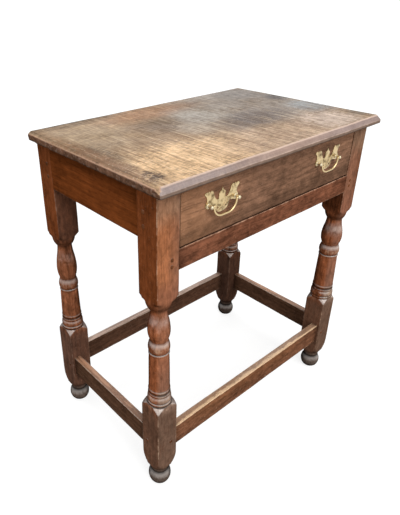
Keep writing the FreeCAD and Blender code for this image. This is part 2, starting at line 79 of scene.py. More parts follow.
camera.data.shift_y = (MIDDLE[1] - IMAGE[1] / 2) / long_side
bpy.context.scene.camera = camera
bpy.context.scene.view_settings.view_transform = "Standard"
print("lens", round(camera.data.lens, 2), "shift", round(camera.data.shift_x, 4), round(camera.data.shift_y, 4))

# %% [markdown]
# ## Writing shader maths as sums
# A finish is a chain of small sums on noise. Wiring each Math node by hand hides the idea, so one class wraps a
# socket and lets Python's own operators add the nodes. Colours and places have a `vector` method for theirs, and the
# `node` method makes any other node: type, then settings, then what goes into its sockets.

# %% A socket that does sums
class Socket:
    """Something that varies over a surface: one socket in a material's node tree."""

    def __init__(self, tree, link=None):
        self.tree = tree
        self.link = link

    def node(self, kind, settings, inputs, output=0):
        made = self.tree.nodes.new(kind)
        for name, value in settings.items():
            if name == "stops":
                ramp = made.color_ramp
                while len(ramp.elements) < len(value):
                    ramp.elements.new(1.0)
                for stop, (place, colour) in zip(ramp.elements, value):
                    stop.position, stop.color = place, colour
            else:
                setattr(made, name, value)
        for name, value in inputs.items():
            if isinstance(value, Socket):
                self.tree.links.new(value.link, made.inputs[name])
            else:
                made.inputs[name].default_value = value
        return Socket(self.tree, made.outputs[output] if made.outputs else None)

    def sum(self, operation, first, second):
        return self.node("ShaderNodeMath", {"operation": operation}, {0: first, 1: second})

    def vector(self, operation, inputs, output=0):
        return self.node("ShaderNodeVectorMath", {"operation": operation}, inputs, output)

    def __add__(self, other):
        return self.sum("ADD", self, other)

    def __sub__(self, other):
        return self.sum("SUBTRACT", self, other)

    def __rsub__(self, other):
        return self.sum("SUBTRACT", other, self)

    def __mul__(self, other):
        return self.sum("MULTIPLY", self, other)

    def __pow__(self, other):
        return self.sum("POWER", self, other)

    __radd__ = __add__
    __rmul__ = __mul__

# %% [markdown]
# A few words that every finish uses: noise stretched along the grain, a soft step between two levels, a mix of two
# colours, and a soft-edged stain at one place.

# %% Words for finishes
def rgb(red, green, blue):
    return (red, green, blue, 1.0)


def stretched(at, scale, turn=0.0):
    return at.node("ShaderNodeMapping", {}, {"Vector": at, "Rotation": (0, 0, turn), "Scale": scale})


def grain_noise(at, scale=1.0, detail=3.0, roughness=0.55, distortion=0.0):
    return at.node("ShaderNodeTexNoise", {}, {"Vector": at, "Scale": scale, "Detail": detail,
                                              "Roughness": roughness, "Distortion": distortion})


def soft_step(value, low, high):
    return value.node("ShaderNodeMapRange", {"interpolation_type": "SMOOTHSTEP"},
                      {"Value": value, "From Min": low, "From Max": high})


def rgb_value(at, colour):
    """A plain colour as a socket, for finishes that go on to change it."""
    return at.node("ShaderNodeCombineColor", {}, dict(enumerate(colour)))


def mixed(share, first, second):
    return share.node("ShaderNodeMix", {"data_type": "RGBA"}, {0: share, 6: first, 7: second}, 2)


def shaded(colour, value):
    return colour.vector("SCALE", {0: colour, "Scale": value})


def coordinate(at, axis):
    return at.node("ShaderNodeSeparateXYZ", {}, {0: at}, axis)


def stain(at, centre, size):
    """1 in the middle of a soft oval and 0 outside it."""
    offset = at.vector("SUBTRACT", {0: at, 1: centre})
    reach = offset.vector("DIVIDE", {0: offset, 1: size})
    length = reach.vector("LENGTH", {0: reach}, "Value")
    return 1 - soft_step(length, 0.0, 1.0)

# %% [markdown]
# Every finish starts from an empty tree and the place on the piece, and ends in the same shader. On the way it may ask
# which way the surface faces, and what the mesh has stored at this spot.

# %% Start and end of a finish
def attribute(at, name):
    return at.node("ShaderNodeAttribute", {"attribute_name": name}, {}, "Fac")


def facing(at, axis):
    """How far the surface faces along an axis, from -1 to 1."""
    return coordinate(at.node("ShaderNodeTexCoord", {}, {}, "Normal"), axis)


def new_finish(name):
    """A material with an empty tree, and where we are on the piece."""
    material = bpy.data.materials.new(name)
    material.use_nodes = True
    material.node_tree.nodes.clear()
    return material, Socket(material.node_tree).node("ShaderNodeTexCoord", {}, {}, "Object")


def finished(at, colour, roughness, height, depth, settings):
    """Ends a finish: the shader gets the colour, the roughness and a bump of the given depth."""
    bump = at.node("ShaderNodeBump", {}, {"Height": height, "Distance": depth, "Strength": 1.0})
    inputs = {"Base Color": colour, "Roughness": roughness, "Normal": bump, **settings}
    shader = at.node("ShaderNodeBsdfPrincipled", {}, inputs)
    at.node("ShaderNodeOutputMaterial", {}, {"Surface": shader})

# %% [markdown]
# ## Old waxed oak
# Oak has three things to see at arm's length: bands of growth along the grain, short dark pores in them, and a
# mottle of old wax and handling on top. The first two are noise stretched along the grain. Where hands and feet have
# rubbed an edge the wax is gone and the wood is pale, and grooves and undersides are darker, a painted shade with some
# dirt in the grooves: both are numbers stored on the mesh when the piece is made, so they follow real edges. What
# faces up has been dusted and waxed most, so it shines: the wax is the shader's coat, and its weight grows with how far
# the surface faces up. It is also paler and greyer, most of all on the side towards the front left, from the dust and
# from a painted sheen of the sky. What faces down is painted darker, as shade, and on the legs what turns edge-on to
# the room is painted darker too.

# %% Oak
# Noise scales for grain along each axis, bump depths, and how far a board or a turned ring must face up to catch dust
# and the painted sheen of the sky.
ALONG = {"x": (5, 120, 120), "y": (120, 5, 120), "z": (120, 120, 5)}
MOTTLE = {"x": (60, 110, 110), "y": (110, 60, 110), "z": (110, 110, 60)}
WAX = {"Specular IOR Level": 0.0, "Coat IOR": 1.8, "Coat Roughness": 0.24}
# Dust and a painted sheen of the sky: the colour that the boards' upward faces take.
DUST_AND_SHEEN = rgb(0.5, 0.44, 0.4)
BOARD, RING = (0.25, 0.85), (0.06, 0.48)
OAK_BUMP, TOP_BUMP, METAL_BUMP = 0.7 * MM, 0.9 * MM, 0.12 * MM


def toned(colour, factor):
    return rgb(*[value * factor for value in colour[:3]])


def toward_room(at):
    """1 for what faces the front left, where the light and the hands come from, and -1 for the far side."""
    return 0 - facing(at, "X") * 0.65 - facing(at, "Y") * 0.76


def oak(name, along, tone, rubbed, contrast=0.45, blotch=1.0, upward_colour=DUST_AND_SHEEN, upward_share=0.6, rise=BOARD, rim=0.0, seed=0.0,
        local=None, streaky=0.0):
    """Oak with its grain along one axis. `local` may change the colour by where it is on the table, `rim` paints
    shade on what is turned edge-on to the room, round a turning, and `streaky` breaks up the colour laid on what faces
    up along the grain. That colour is dust and a painted sheen of the sky."""
    material, at = new_finish(name)
    dark, light = toned(tone, 1 - contrast), toned(tone, 1 + contrast * 0.9)
    shifted = at.vector("ADD", {0: at, 1: (seed, seed * 0.7, seed * 0.4)})
    growth = grain_noise(stretched(shifted, ALONG[along]), 1.0, 5.0, 0.6, 0.7)
    mottle = grain_noise(stretched(shifted, MOTTLE[along]), 1.0, 5.0, 0.68, 0.4)
    clouds = grain_noise(shifted, 13.0, 5.0, 0.62)
    cloudy = clouds - 0.5
    pores = soft_step(grain_noise(stretched(shifted, [v * 4 for v in ALONG[along]]), 1.0, 2.0), 0.54, 0.68)
    specks = soft_step(grain_noise(shifted, 240.0, 2.0), 0.64, 0.74)
    figure = growth * 0.55 + mottle * 0.25 + clouds * 0.2
    colour = figure.node("ShaderNodeValToRGB", {"stops": [(0.38, dark), (0.5, tone), (0.62, light)]}, {0: figure})
    if local:
        colour = local(at, colour, cloudy)
    colour = shaded(colour, 1 + cloudy * 0.8 + (mottle - 0.5) * blotch + (growth - 0.5) * contrast)
    colour = mixed(pores * 0.35, colour, toned(tone, 0.4))
    colour = mixed(specks * 0.2, colour, rubbed)
    rub = attribute(at, "rub")
    rub = soft_step(rub + (mottle - 0.5) * 1.6 + cloudy * 0.8, 0.35, 0.95) * soft_step(rub, 0.02, 0.25)
    colour = mixed(rub * 0.8, colour, rubbed)
    up = facing(at, "Z")
    upward = soft_step(up + (mottle - 0.5) * 0.35, *rise) * soft_step(toward_room(at) + up, 0.2, 1.0)
    # What faces down is painted darker: painted shade.
    downward = soft_step(0 - up, 0.05, 0.75)
    streaks = 1 - streaky * soft_step(growth + cloudy * 0.6, 0.44, 0.58)
    # What faces up takes dust and a painted sheen of the sky, most on the side towards the front left.
    colour = mixed(upward * (1 - rub) * upward_share * streaks, colour, upward_colour)
    # Painted shade where the surface turns edge-on to the room, round a turning.
    edge = 1 - soft_step(toward_room(at) ** 2, 0.0, 0.36)
    colour = shaded(colour, (1 - attribute(at, "grime") * 0.85) * (1 - downward * 0.5) * (1 - edge * rim))
    roughness = 0.46 + 0.22 * cloudy + 0.14 * pores - 0.08 * rub
    height = growth * 0.5 - pores * 0.6 + mottle * 0.6
    finished(at, colour, roughness, height, OAK_BUMP, {"Coat Weight": upward * 0.6 + rub * 0.15, **WAX})
    return material

# %% [markdown]
# Each part of the table has aged in its own way. The legs have faded on their front, more so at the left, are red
# brown on the outer left faces, partly their own colour and partly a painted warm light, and turn dull towards the
# floor, where they were washed with the flagstones. Their inner faces under the rails, the fronts of the back legs and
# the far right leg are painted darker, as shade. The drawer front is paler at the end where it was handled, a painted
# shadow darkens it under the top, and feet have worn the front stretcher golden in its middle. These local changes are
# small functions handed to the same oak. The legs' come first.

# %% Wear of the legs
# The outer left faces' red brown: partly the wood's own colour, partly a painted warm light.
OUTER_FACE = rgb(0.28, 0.077, 0.022)
WASHED_FOOT = rgb(0.175, 0.138, 0.115)


def leg_wear(front_left, front_right, low_tone, fade, far, bands=()):
    """Gives a function that ages a leg. The first two tones are its faded front at the left and the right, the third
    is its lower block's. The front has faded above the heights in `fade`, and legs at the right are painted darker by
    `far`, as shade. The bands are further tones of the front, each with the heights between which it comes in."""
    def wear(at, colour, cloudy):
        height, across = coordinate(at, "Z"), coordinate(at, "X")
        upper = soft_step(height, 0.468, 0.492)
        left = soft_step(0 - facing(at, "X"), 0.45, 0.9)
        front = soft_step(0 - facing(at, "Y"), 0.45, 0.9)
        outer = 1 - soft_step(across, -0.304, -0.296)
        faded = mixed(soft_step(across + cloudy * 0.03, -0.292, -0.248), front_left, front_right)
        faded = shaded(faded, 1 - soft_step(across + cloudy * 0.02, 0.278, 0.306) * 0.55)
        colour = mixed(front * soft_step(height, *fade) * 0.75, colour, faded)
        for tone, begins, ends in bands:
            colour = mixed(front * soft_step(height + cloudy * 0.08, begins, ends) * 0.6, colour, tone)
        colour = mixed(left * outer * upper * 0.85, colour, OUTER_FACE)
        # The blocks' inner left faces are painted darker: painted shade under the rails.
        colour = shaded(colour, 1 - left * upper * (1 - outer) * 0.6)
        lower = 1 - soft_step(height + cloudy * 0.04, 0.205, 0.25)
        foot = 1 - soft_step(height, 0.034, 0.06)
        # The lower block is painted lighter on its left faces and darker on its front: painted light.
        colour = mixed(lower * 0.85, colour, shaded(rgb_value(at, low_tone), 0.86 + left * 0.36))
        colour = mixed(foot * 0.85, colour, WASHED_FOOT)
        # Legs at the right are painted darker: painted shade.
        return shaded(colour, 1 - soft_step(across, -0.1, 0.1) * far)
    return wear

# %% [markdown]
# The boards' turn: the drawer front, with a dark halo round each handle, partly old polish and partly a painted
# shadow of the plate, the side rails, with a painted shadow of the top along their upper part, and the front
# stretcher.

# %% Wear of the boards
HANDLED = rgb(0.385, 0.19, 0.1)
TRODDEN = rgb(0.3, 0.125, 0.055)
HALO_PLACES, HALO_SIZE = ((-0.158, -0.179, 0.64), (0.158, -0.179, 0.64)), (0.062, 0.1, 0.042)


def front_wear(at, colour, cloudy):
    left = 1 - soft_step(coordinate(at, "X") + cloudy * 0.2, -0.24, -0.06)
    colour = mixed(left * 0.7, colour, HANDLED)
    # A dark halo round each handle: partly old polish, partly a painted shadow of the plate.
    for place in HALO_PLACES:
        colour = shaded(colour, 1 - soft_step(stain(at, place, HALO_SIZE), 0.1, 0.5) * 0.3)
    # A painted shadow of the top along the upper edge, and the front is darker along its lower edge.
    height = coordinate(at, "Z")
    lower_edge = 1 - soft_step(height + cloudy * 0.03, 0.592, 0.612)
    return shaded(colour, (1 - soft_step(height, 0.674, 0.687) * 0.6) * (1 - lower_edge * 0.35))


def side_wear(at, colour, cloudy):
    height = coordinate(at, "Z")
    # A painted shadow of the top's overhang on the rail's upper part, and the rail is darker along its lower edge.
    under_top = soft_step(height + cloudy * 0.02, 0.655, 0.69)
    lower_edge = 1 - soft_step(height + cloudy * 0.01, 0.594, 0.604)
    return shaded(colour, (1 - under_top * 0.55) * (1 - lower_edge * 0.35))


def trodden(at, colour, cloudy):
    along = coordinate(at, "X")
    middle = 1 - soft_step((along + 0.02) ** 2, 0.01, 0.06)
    height = soft_step(coordinate(at, "Z") + cloudy * 0.02, 0.105, 0.15)
    return mixed(middle * height * 0.5, colour, TRODDEN)

# %% [markdown]
# Now each part's own oak: its tone, the tone where it is rubbed, and what has happened to it. The legs at the front
# have four bands of tone besides, so that they change from the drawer down to the rings.

# %% Oak by piece
# The legs' colour for what faces up: a painted highlight of the sky in the wax, with some dust.
GLINT = rgb(0.64, 0.55, 0.5)
# The last band, the grey of the base rings, is partly their tone and partly a painted glint of the sky.
BANDS = ((rgb(0.32, 0.13, 0.078), 0.545, 0.49), (rgb(0.35, 0.22, 0.14), 0.61, 0.655),
         (rgb(0.215, 0.112, 0.076), 0.36, 0.29), (rgb(0.36, 0.27, 0.21), 0.277, 0.269))
# The rim is painted shade on what turns edge-on to the room.
TURNED = {"contrast": 0.45, "blotch": 1.6, "upward_colour": GLINT, "rise": RING, "rim": 0.55}
front_leg_wear = leg_wear(rgb(0.5, 0.195, 0.086), rgb(0.275, 0.14, 0.09), (0.165, 0.09, 0.058),
                          fade=(0.0, 0.1), far=0.0, bands=BANDS)
# The back legs' dark front tones are painted shade under the table.
back_leg_wear = leg_wear(rgb(0.125, 0.062, 0.04), rgb(0.125, 0.062, 0.04), (0.135, 0.074, 0.052),
                         fade=(0.46, 0.48), far=0.45)
leg_oak = oak("leg_oak", "z", rgb(0.32, 0.1, 0.04), rgb(0.58, 0.4, 0.27), upward_share=0.8, seed=1.0,
              local=front_leg_wear, **TURNED)
back_leg_oak = oak("back_leg_oak", "z", rgb(0.34, 0.12, 0.056), rgb(0.36, 0.25, 0.18), upward_share=0.65, seed=1.6,
                   local=back_leg_wear, **TURNED)
side_oak = oak("side_oak", "y", rgb(0.255, 0.068, 0.017), rgb(0.34, 0.14, 0.05), contrast=0.3, blotch=0.6,
               upward_share=0.3, seed=2.0, local=side_wear)
# The rails' upward faces are painted near black: painted shade in the gaps under the drawer and the top.
rail_oak = oak("rail_oak", "x", rgb(0.22, 0.085, 0.046), rgb(0.66, 0.4, 0.27), contrast=0.35, blotch=1.6,
               upward_colour=rgb(0.07, 0.036, 0.022), upward_share=0.9, seed=3.0)
front_stretcher_oak = oak("front_stretcher_oak", "x", rgb(0.185, 0.08, 0.043), rgb(1.0, 0.7, 0.44), contrast=0.35,
                          blotch=1.4, upward_colour=rgb(0.5, 0.315, 0.205), upward_share=0.65, seed=4.0, local=trodden)
back_stretcher_oak = oak("back_stretcher_oak", "x", rgb(0.11, 0.053, 0.032), rgb(0.5, 0.38, 0.3), contrast=0.3,
                         upward_colour=rgb(0.6, 0.42, 0.33), upward_share=0.9, seed=4.5, streaky=0.5)
side_stretcher_oak = oak("side_stretcher_oak", "y", rgb(0.135, 0.066, 0.038), rgb(0.6, 0.43, 0.33), contrast=0.3,
                         upward_colour=rgb(0.66, 0.355, 0.215), upward_share=0.8, seed=5.0, streaky=0.65)
drawer_oak = oak("drawer_oak", "x", rgb(0.29, 0.154, 0.094), rgb(0.5, 0.34, 0.24), contrast=0.25, blotch=1.3,
                 seed=6.0, local=front_wear)
lining_oak = oak("lining_oak", "y", rgb(0.32, 0.195, 0.108), rgb(0.5, 0.35, 0.22), upward_share=0.1, seed=7.0)
peg_oak = oak("peg_oak", "z", rgb(0.2, 0.075, 0.032), rgb(0.4, 0.2, 0.11), upward_share=0.2, seed=8.0)
print("oak finishes", len(bpy.data.materials))

# %% [markdown]
# ## Cast brass and forged iron
# Brass handles of this age are sand-cast, filed and rubbed bright on their high places, with brown tarnish left in
# the rest. The posts, which a cloth never reaches, are duller and paler. The iron of the nails is nearly black with a
# bloom of rust.

# %% Brass and iron
def metal(name, bright, dull, polish, metallic, patch):
    material, at = new_finish(name)
    tarnish = grain_noise(at, patch, 4.0, 0.65)
    grit = grain_noise(at, 900.0, 2.0)
    rub = attribute(at, "rub")
    share = soft_step(tarnish - rub * 0.35, 0.44, 0.7)
    colour = mixed(share, bright, dull)
    roughness = polish + 0.22 * share + 0.1 * (grit - 0.5)
    finished(at, colour, roughness, grit * 0.5 + tarnish, METAL_BUMP, {"Metallic": metallic})
    return material


brass = metal("brass", rgb(0.66, 0.51, 0.28), rgb(0.17, 0.115, 0.05), polish=0.32, metallic=1.0, patch=90.0)
post_brass = metal("post_brass", rgb(0.62, 0.54, 0.38), rgb(0.17, 0.13, 0.075), polish=0.52, metallic=1.0, patch=90.0)
nail_iron = metal("nail_iron", rgb(0.1, 0.085, 0.075), rgb(0.13, 0.06, 0.032), polish=0.55, metallic=0.6, patch=300.0)
print("metals", brass.name, post_brass.name, nail_iron.name)

# %% [markdown]
# ## Helpers that turn a bmesh into a piece
# Every finished piece sits at the origin with its place in its mesh, rides on one of the model's bodies and stands for
# the model's own piece. Smooth shading with sharp edges above an angle keeps flats flat and turnings round.

# %% From bmesh to piece
MERGED, NEAR = 0.002 * MM, 0.01 * MM
CREASE = math.radians(40)


def add_piece(name, mesh, material, body, slot, *replaced):
    bmesh.ops.remove_doubles(mesh, verts=mesh.verts, dist=MERGED)
    bmesh.ops.recalc_face_normals(mesh, faces=mesh.faces)
    data = bpy.data.meshes.new(name)
    mesh.to_mesh(data)
    mesh.free()
    data.shade_smooth()
    data.set_sharp_from_angle(angle=CREASE)
    data.materials.append(material)
    piece = bpy.data.objects.new(name, data)
    bpy.context.scene.collection.objects.link(piece)
    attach(piece, body)
    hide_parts(*replaced)


def everything(mesh):
    return mesh.verts[:] + mesh.edges[:] + mesh.faces[:]


def cut_across(mesh, axis, places):
    """Adds a line of vertices all round a piece wherever one of its coordinates has these values."""
    normal = [0, 0, 0]
    normal[axis] = 1
    for place in places:
        bmesh.ops.bisect_plane(mesh, geom=everything(mesh), dist=NEAR, plane_co=[v * place for v in normal],
                               plane_no=normal)


def ease(mesh, edges, offset, segments):
    bmesh.ops.bevel(mesh, geom=edges, offset=offset, offset_type="OFFSET", affect="EDGES", segments=segments,
                    profile=0.5, material=-1, clamp_overlap=True)

# %% [markdown]
# Wear follows from where a vertex is, so a few plain sums come next, and a noise that takes the machine straightness
# out of a board.

# %% Sums for wear
def wear_layers(mesh):
    # Two numbers for each vertex: how much it is rubbed, and how much darker it is, from dirt and from painted shade.
    return [mesh.verts.layers.float.new(name) for name in ("rub", "grime")]


def between(value, low, high):
    """0 below low, 1 above high, and straight between them."""
    return max(0.0, min(1.0, (value - low) / (high - low)))


def even_places(low, high, spacing):
    count = max(1, round((high - low) / spacing))
    return [low + (high - low) * step / count for step in range(1, count)]


noise.seed_set(3)   # unseeded, this noise starts from the clock


def waver(mesh, amount, spread, seed):
    """Hand-planed wood isn't true: each vertex drifts a little, together with its neighbours."""
    for vert in mesh.verts:
        vert.co += noise.noise_vector(vert.co * spread + Vector((seed, seed, seed))) * amount

# %% [markdown]
# ## The top
# One wide board. A mould slopes down along its front, its ends were sawn square and are worn round along their upper
# arris, and its back is square. A cube is the start. One bevel takes off the front and end arrises together, so they
# meet at the corners by themselves, and the new lines are moved to the width and drop that each side has. Then the
# ends are rounded, the front corners eased, and last every edge that is still sharp.

# %% Table top
top_low, top_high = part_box("table_top")
MOULD_WIDTH, MOULD_DROP = 7 * MM, 10 * MM
END_WIDTH, END_DROP = 6.5 * MM, 5.5 * MM
ROUND, CORNER, EASED = 2.2 * MM, 3 * MM, 0.8 * MM
STILL_SHARP, LONG = math.radians(28), 50 * MM
lip = top_high.z - MOULD_DROP


def box_between(low, high):
    mesh = bmesh.new()
    low, high = Vector(low), Vector(high)
    place = Matrix.Translation((low + high) / 2) @ Matrix.Diagonal((*(high - low), 1))
    bmesh.ops.create_cube(mesh, size=1.0, matrix=place)
    return mesh


def both_ends(edge, test):
    return all(test(vert.co) for vert in edge.verts)


def edges_of_ends(mesh):
    return [edge for edge in mesh.edges if both_ends(edge, lambda at: abs(at.x) > top_high.x - MOULD_WIDTH)]


top = box_between(top_low, top_high)
arrises = [edge for edge in top.edges
           if both_ends(edge, lambda at: at.z > top_high.z - MM)
           and not both_ends(edge, lambda at: at.y > top_high.y - MM)]
ease(top, arrises, MOULD_WIDTH, 1)
cut_across(top, 1, [top_low.y + 2 * MOULD_WIDTH])
for vert in top.verts:
    if top_low.z + MM < vert.co.z < top_high.z - MM:
        vert.co.z = top_high.z - (MOULD_DROP if vert.co.y < top_low.y + MM else END_DROP)
    elif vert.co.z > top_high.z - MM and abs(vert.co.x) > top_high.x - MOULD_WIDTH - MM:
        vert.co.x = math.copysign(top_high.x - END_WIDTH, vert.co.x)
ends = [edge for edge in edges_of_ends(top)
        if both_ends(edge, lambda at: at.z > lip + MM) and abs(edge.verts[0].co.y - edge.verts[1].co.y) > LONG]
ease(top, ends, ROUND, 3)
corners = [edge for edge in edges_of_ends(top) if both_ends(edge, lambda at: at.y < top_low.y + MOULD_WIDTH + MM)
           and abs(edge.verts[0].co.z - edge.verts[1].co.z) > MM]
ease(top, corners, CORNER, 3)
sharp = [edge for edge in top.edges if edge.calc_face_angle(0) > STILL_SHARP]
ease(top, sharp, EASED, 2)
print("top faces before the cuts", len(top.faces))

# %% [markdown]
# The long faces are then cut into small ones, so that the rubbing and the chips have vertices to live on. Both ends
# have lost splinters along their lower arris: where a fine noise runs high, the edge is pressed in.

# %% Wear of the top
STEP_X, STEP_Y = 14 * MM, 6 * MM
RUBBED, DIRT_BAND, LOW_BAND = 2.4 * MM, 5 * MM, 3 * MM
CHIPPED, CHIP_DEPTH, CHIP_WIDTH = 0.1, 4 * MM, 3 * MM
chip_top = lip + 4 * MM
cut_across(top, 0, even_places(top_low.x, top_high.x, STEP_X))
cut_across(top, 1, even_places(top_low.y, top_high.y, STEP_Y))
cut_across(top, 1, [top_low.y + MOULD_WIDTH * step for step in (0.4, 0.7, 1.4)])
cut_across(top, 0, [sign * (top_high.x - END_WIDTH - DIRT_BAND) for sign in (-1, 1)])
cut_across(top, 2, [top_low.z + LOW_BAND, chip_top])
rub, grime = wear_layers(top)
for vert in top.verts:
    ahead, inward = vert.co.y - top_low.y, top_high.x - abs(vert.co.x)
    upper = math.hypot(ahead - MOULD_WIDTH, vert.co.z - top_high.z)
    lower = math.hypot(ahead, vert.co.z - lip)
    below = max(0.0, top_high.z - 5.6 * MM - vert.co.z)
    rounded = between(top_high.z - vert.co.z, 0.0, END_DROP) if vert.co.x < 0 and inward < END_WIDTH else 0.0
    vert[rub] = max(0.0, 1.5 - upper / RUBBED, 0.8 - lower / RUBBED, rounded - 2 * below / RUBBED)
    # The lowest few millimetres of the front and the ends are darker: painted shade along the top's lower edge.
    vert[grime] = 0.7 * max(0.0, 1 - (vert.co.z - top_low.z) / LOW_BAND) if min(ahead, inward) < 2 * MM else 0.0
    # On the top face, dirt lies along the ends, and the board is darker along its back edge.
    if ahead > 2 * MOULD_WIDTH and vert.co.z > top_high.z - MM:
        end_dirt = 1 - between(abs(inward - END_WIDTH), 0.0, DIRT_BAND)
        back_darkening = 1 - between(top_high.y - vert.co.y, 0.0, STEP_Y)
        vert[grime] = max((0.28 if vert.co.x < 0 else 0.5) * end_dirt, 0.45 * back_darkening)
    chip = noise.noise(Vector((vert.co.y * 55, vert.co.z * 40, 7.0)))
    if inward < CHIP_WIDTH and chip > CHIPPED and vert.co.z < chip_top:
        vert.co.x -= math.copysign((chip - CHIPPED) * CHIP_DEPTH, vert.co.x)
waver(top, amount=0.6 * MM, spread=14.0, seed=3.0)
print("top faces", len(top.faces))

# %% [markdown]
# The board's own figure runs along its length, and being cut on the quarter it shows wavy silver flecks across it.
# A century of cloths and cups has bleached it golden at the front left. The grey, bluish and dark clouds in the middle
# and towards the right are a painted reflection of the sky and the room in the wax. Each of those is a soft oval of
# colour laid over the grain: tone, strength, middle, half sizes, and how broken up it is.

# %% Stains of the top
STAINS_AND_PAINTED_REFLECTIONS = [
    # A painted reflection: the grey of the sky over the right of the top.
    ((0.31, 0.275, 0.245), 0.9, 0.2, 0.06, 0.42, 0.32, 1.0),
    ((0.92, 0.62, 0.355), 0.85, -0.19, -0.14, 0.26, 0.15, 3.0),
    ((0.58, 0.41, 0.29), 0.7, 0.04, -0.15, 0.26, 0.11, 3.0),
    ((0.62, 0.49, 0.405), 0.9, 0.215, -0.14, 0.13, 0.1, 3.0),
    ((0.43, 0.24, 0.145), 0.7, -0.04, 0.15, 0.21, 0.08, 1.0),
    ((0.16, 0.12, 0.09), 0.65, -0.23, 0.192, 0.2, 0.04, 2.0),
    ((0.4, 0.3, 0.195), 0.6, -0.24, 0.085, 0.13, 0.16, 2.0),
    # From here to the bluish oval, the grey and dark ovals are a painted reflection of the sky and the room in the wax.
    ((0.19, 0.145, 0.115), 0.7, -0.08, 0.055, 0.14, 0.1, 1.2),
    ((0.46, 0.425, 0.38), 0.75, 0.035, 0.06, 0.125, 0.125, 0.8),
    ((0.46, 0.395, 0.325), 0.6, -0.05, -0.005, 0.085, 0.07, 1.0),
    ((0.14, 0.12, 0.117), 0.85, 0.105, -0.03, 0.16, 0.095, 1.0),
    ((0.225, 0.208, 0.195), 0.75, 0.27, 0.15, 0.16, 0.11, 1.0),
    ((0.1, 0.1, 0.108), 0.9, 0.302, 0.062, 0.06, 0.065, 1.5),
    ((0.33, 0.36, 0.38), 0.8, 0.284, -0.045, 0.085, 0.1, 1.5),
    ((0.13, 0.12, 0.1), 0.75, 0.3, -0.15, 0.04, 0.06, 2.0),
    ((0.13, 0.1, 0.078), 0.8, -0.292, -0.01, 0.045, 0.1, 7.0),
    ((0.11, 0.08, 0.06), 0.75, -0.3, -0.095, 0.03, 0.045, 8.0),
    ((0.05, 0.038, 0.034), 0.95, -0.292, -0.152, 0.03, 0.04, 10.0),
    ((0.3, 0.165, 0.092), 0.8, -0.312, -0.01, 0.045, 0.26, 4.0),
    ((0.13, 0.11, 0.085), 0.9, -0.2, 0.202, 0.16, 0.012, 1.0),
]
print("stains", len(STAINS_AND_PAINTED_REFLECTIONS))

# %% [markdown]
# Several noises at different scales share the work: slow clouds and drift, the mottle of old wax, fine growth lines,
# the flecks across them, spots and pores. They also steer the roughness and the bump, so one class holds them.

# %% Face of the top
class Figure:
    """The noises of the top."""

    def __init__(self, at):
        self.clouds = grain_noise(at, 9.0, 6.0, 0.64)
        self.drift = grain_noise(at, 5.0, 3.0, 0.5)
        self.mottle = grain_noise(stretched(at, (60, 90, 90)), 1.0, 5.0, 0.68, 0.3)
        self.growth = grain_noise(stretched(at, (7, 120, 120)), 1.0, 4.0, 0.62, 0.6)
        self.fleck = grain_noise(stretched(at, (190, 7, 60), 0.05), 1.0, 5.0, 0.66, 1.2)
        self.spots = grain_noise(stretched(at, (110, 150, 150)), 1.0, 4.0, 0.6, 0.5)
        self.specks = grain_noise(stretched(at, (170, 230, 230)), 1.0, 3.0, 0.6)
        self.pores = soft_step(grain_noise(stretched(at, (380, 40, 380)), 1.0, 2.0), 0.55, 0.7)
        self.streak = soft_step(self.fleck, 0.43, 0.63)


GROWTH = [(0.34, rgb(0.36, 0.238, 0.147)), (0.5, rgb(0.4, 0.27, 0.168)), (0.66, rgb(0.44, 0.302, 0.189))]
DARK_FLECK, PALE_FLECK = rgb(0.19, 0.115, 0.072), rgb(0.8, 0.62, 0.44)
PALE_SPECK, DARK_PORE = rgb(0.84, 0.68, 0.52), rgb(0.12, 0.07, 0.04)


def top_face(at, figure):
    clouds, drift, growth, spots = figure.clouds - 0.5, figure.drift - 0.5, figure.growth - 0.5, figure.spots - 0.5
    colour = at.node("ShaderNodeValToRGB", {"stops": GROWTH}, {0: figure.growth})
    for tone, strength, x, y, wide, deep, broken in STAINS_AND_PAINTED_REFLECTIONS:
        patch = stain(at, (x, y, top_high.z), (wide, deep, 1.0))
        patch = patch * (1 + clouds * 1.6 + drift * 1.2 + spots * broken)
        colour = mixed(soft_step(patch, 0.0, 0.9) * strength, colour, rgb(*tone))
    near = 1 - soft_step(coordinate(at, "Y") + drift * 0.2, -0.08, 0.12)
    uneven = clouds * 0.8 + (figure.mottle - 0.5) * 1.3 + spots * 0.8 + growth * (0.6 - near * 0.5)
    colour = shaded(colour, 1 + uneven)
    colour = mixed(figure.streak * (0.26 + 0.32 * near), colour, DARK_FLECK)
    colour = mixed(soft_step(1 - figure.fleck, 0.52, 0.66) * (0.18 + 0.28 * near), colour, PALE_FLECK)
    colour = mixed(soft_step(figure.specks, 0.6, 0.7) * (0.2 + 0.3 * near), colour, PALE_SPECK)
    return mixed(figure.pores * 0.3, colour, DARK_PORE)

# %% [markdown]
# The sawn ends are dark below a pale rounded arris, with pale spots on them that are partly wear and partly painted
# glints. The sloping mould of the front carries a painted reflection of the sky, grey in three tones along its length,
# and the narrow lip under it is brown.

# %% Edges of the top
# The mould's grey is a painted reflection of the sky laid on the wood's tone.
MOULD_WITH_PAINTED_SKY = rgb(0.35, 0.285, 0.28), rgb(0.385, 0.268, 0.226), rgb(0.322, 0.24, 0.222)
LIP, SAWN, SAWN_WEAR_AND_GLINT = (0.27, 0.185, 0.14), (0.19, 0.095, 0.058), rgb(0.5, 0.36, 0.3)
RUBBED_FRONT, RUBBED_END, RUBBED_BACK = rgb(0.72, 0.54, 0.44), rgb(0.63, 0.385, 0.26), rgb(0.7, 0.42, 0.27)


